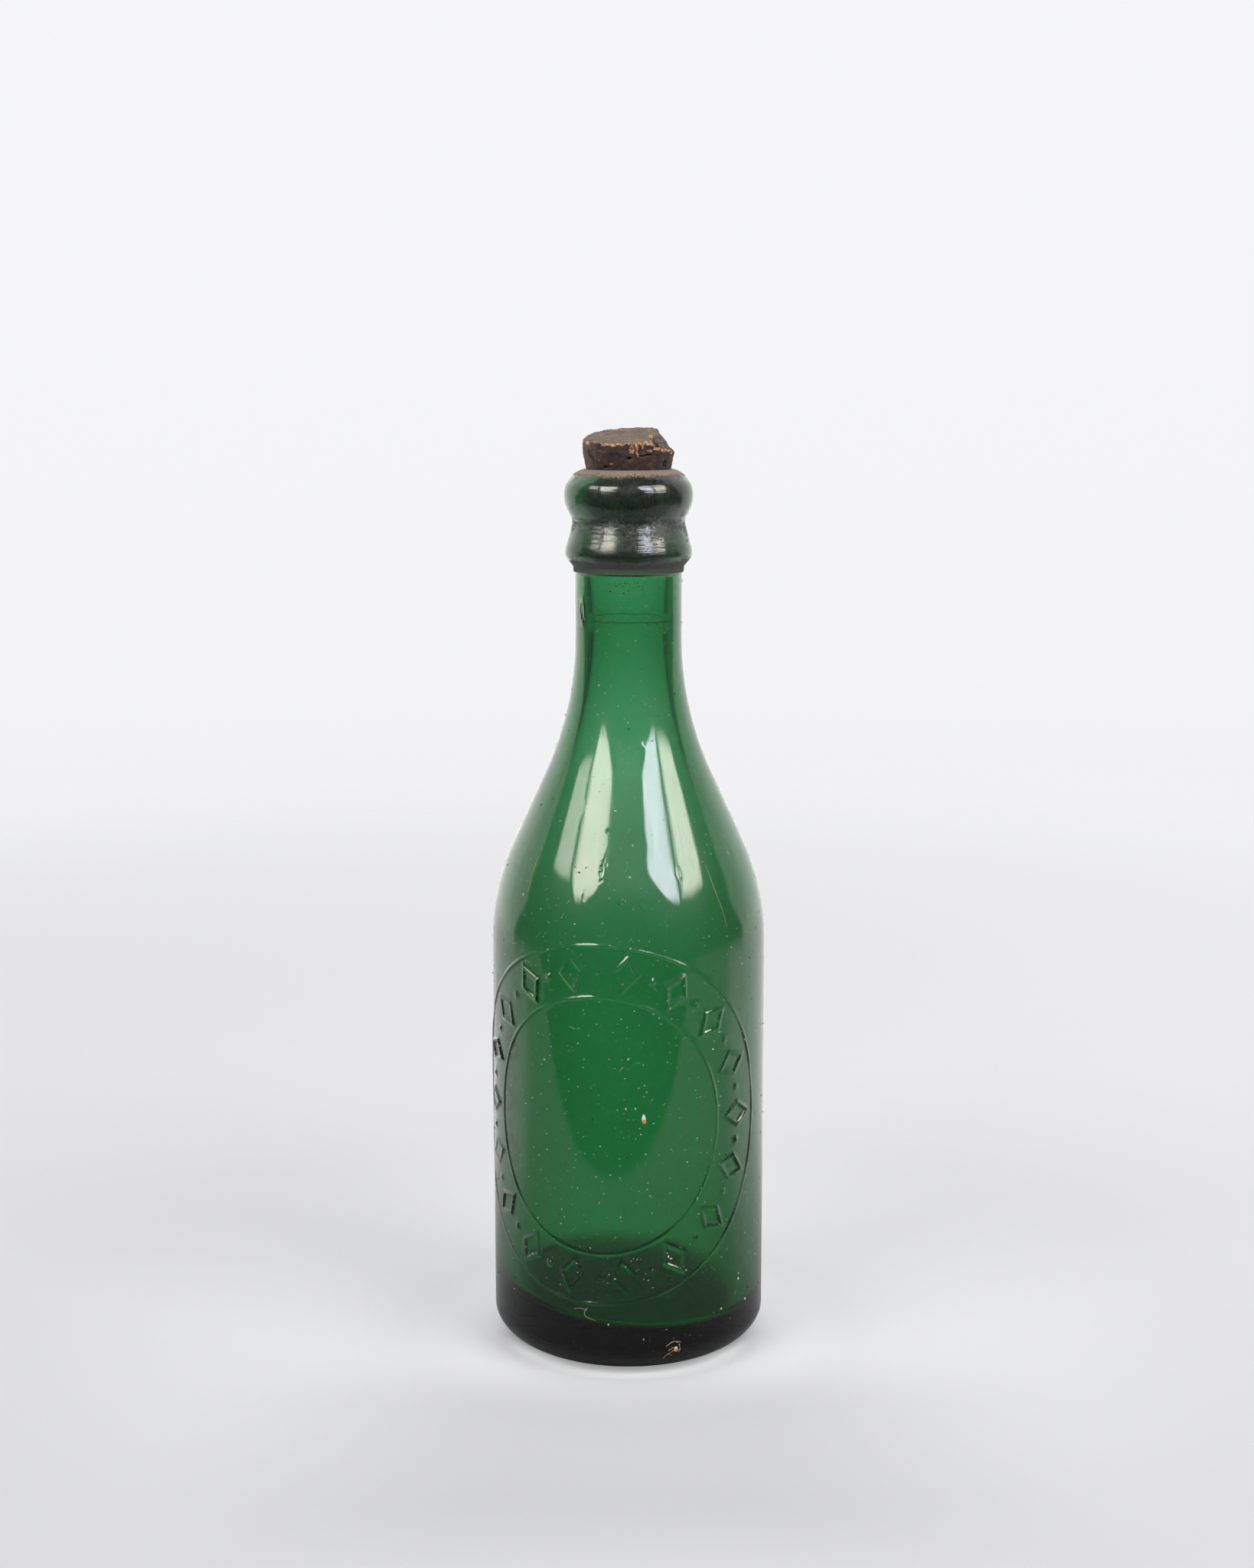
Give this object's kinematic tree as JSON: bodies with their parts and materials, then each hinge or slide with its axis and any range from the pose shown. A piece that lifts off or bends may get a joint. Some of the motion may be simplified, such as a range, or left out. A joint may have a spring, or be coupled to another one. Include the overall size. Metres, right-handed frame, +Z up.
{
  "type": "corked glass bottle",
  "caption": "Small round-shouldered green glass drink bottle with a tooled, ringed lip of added glass and a worn cork stopper that pulls out.",
  "frame": {"origin": "middle of the plane that the bottle stands on", "axes": "+Z up along the bottle's axis; -Y is the side that carries the raised rings"},
  "size_m": [0.064, 0.064, 0.2156],
  "materials": {
    "green_glass": "clear dark green bottle glass with a mould-blown skin",
    "lip_glass": "dark green glass, hand tooled, with dust in its marks",
    "cork": "old dry cork, brown and crumbling at its broken edge"
  },
  "bodies": {
    "bottle": {"bottle_body": "green_glass", "applied_lip": "lip_glass"},
    "cork": {"cork_stopper": "cork"}
  },
  "joints": [
    {"name": "cork_lift", "type": "slide", "parent": "bottle", "child": "cork", "axis": [0, 0, 1], "range_m": [0, 0.06]}
  ]
}
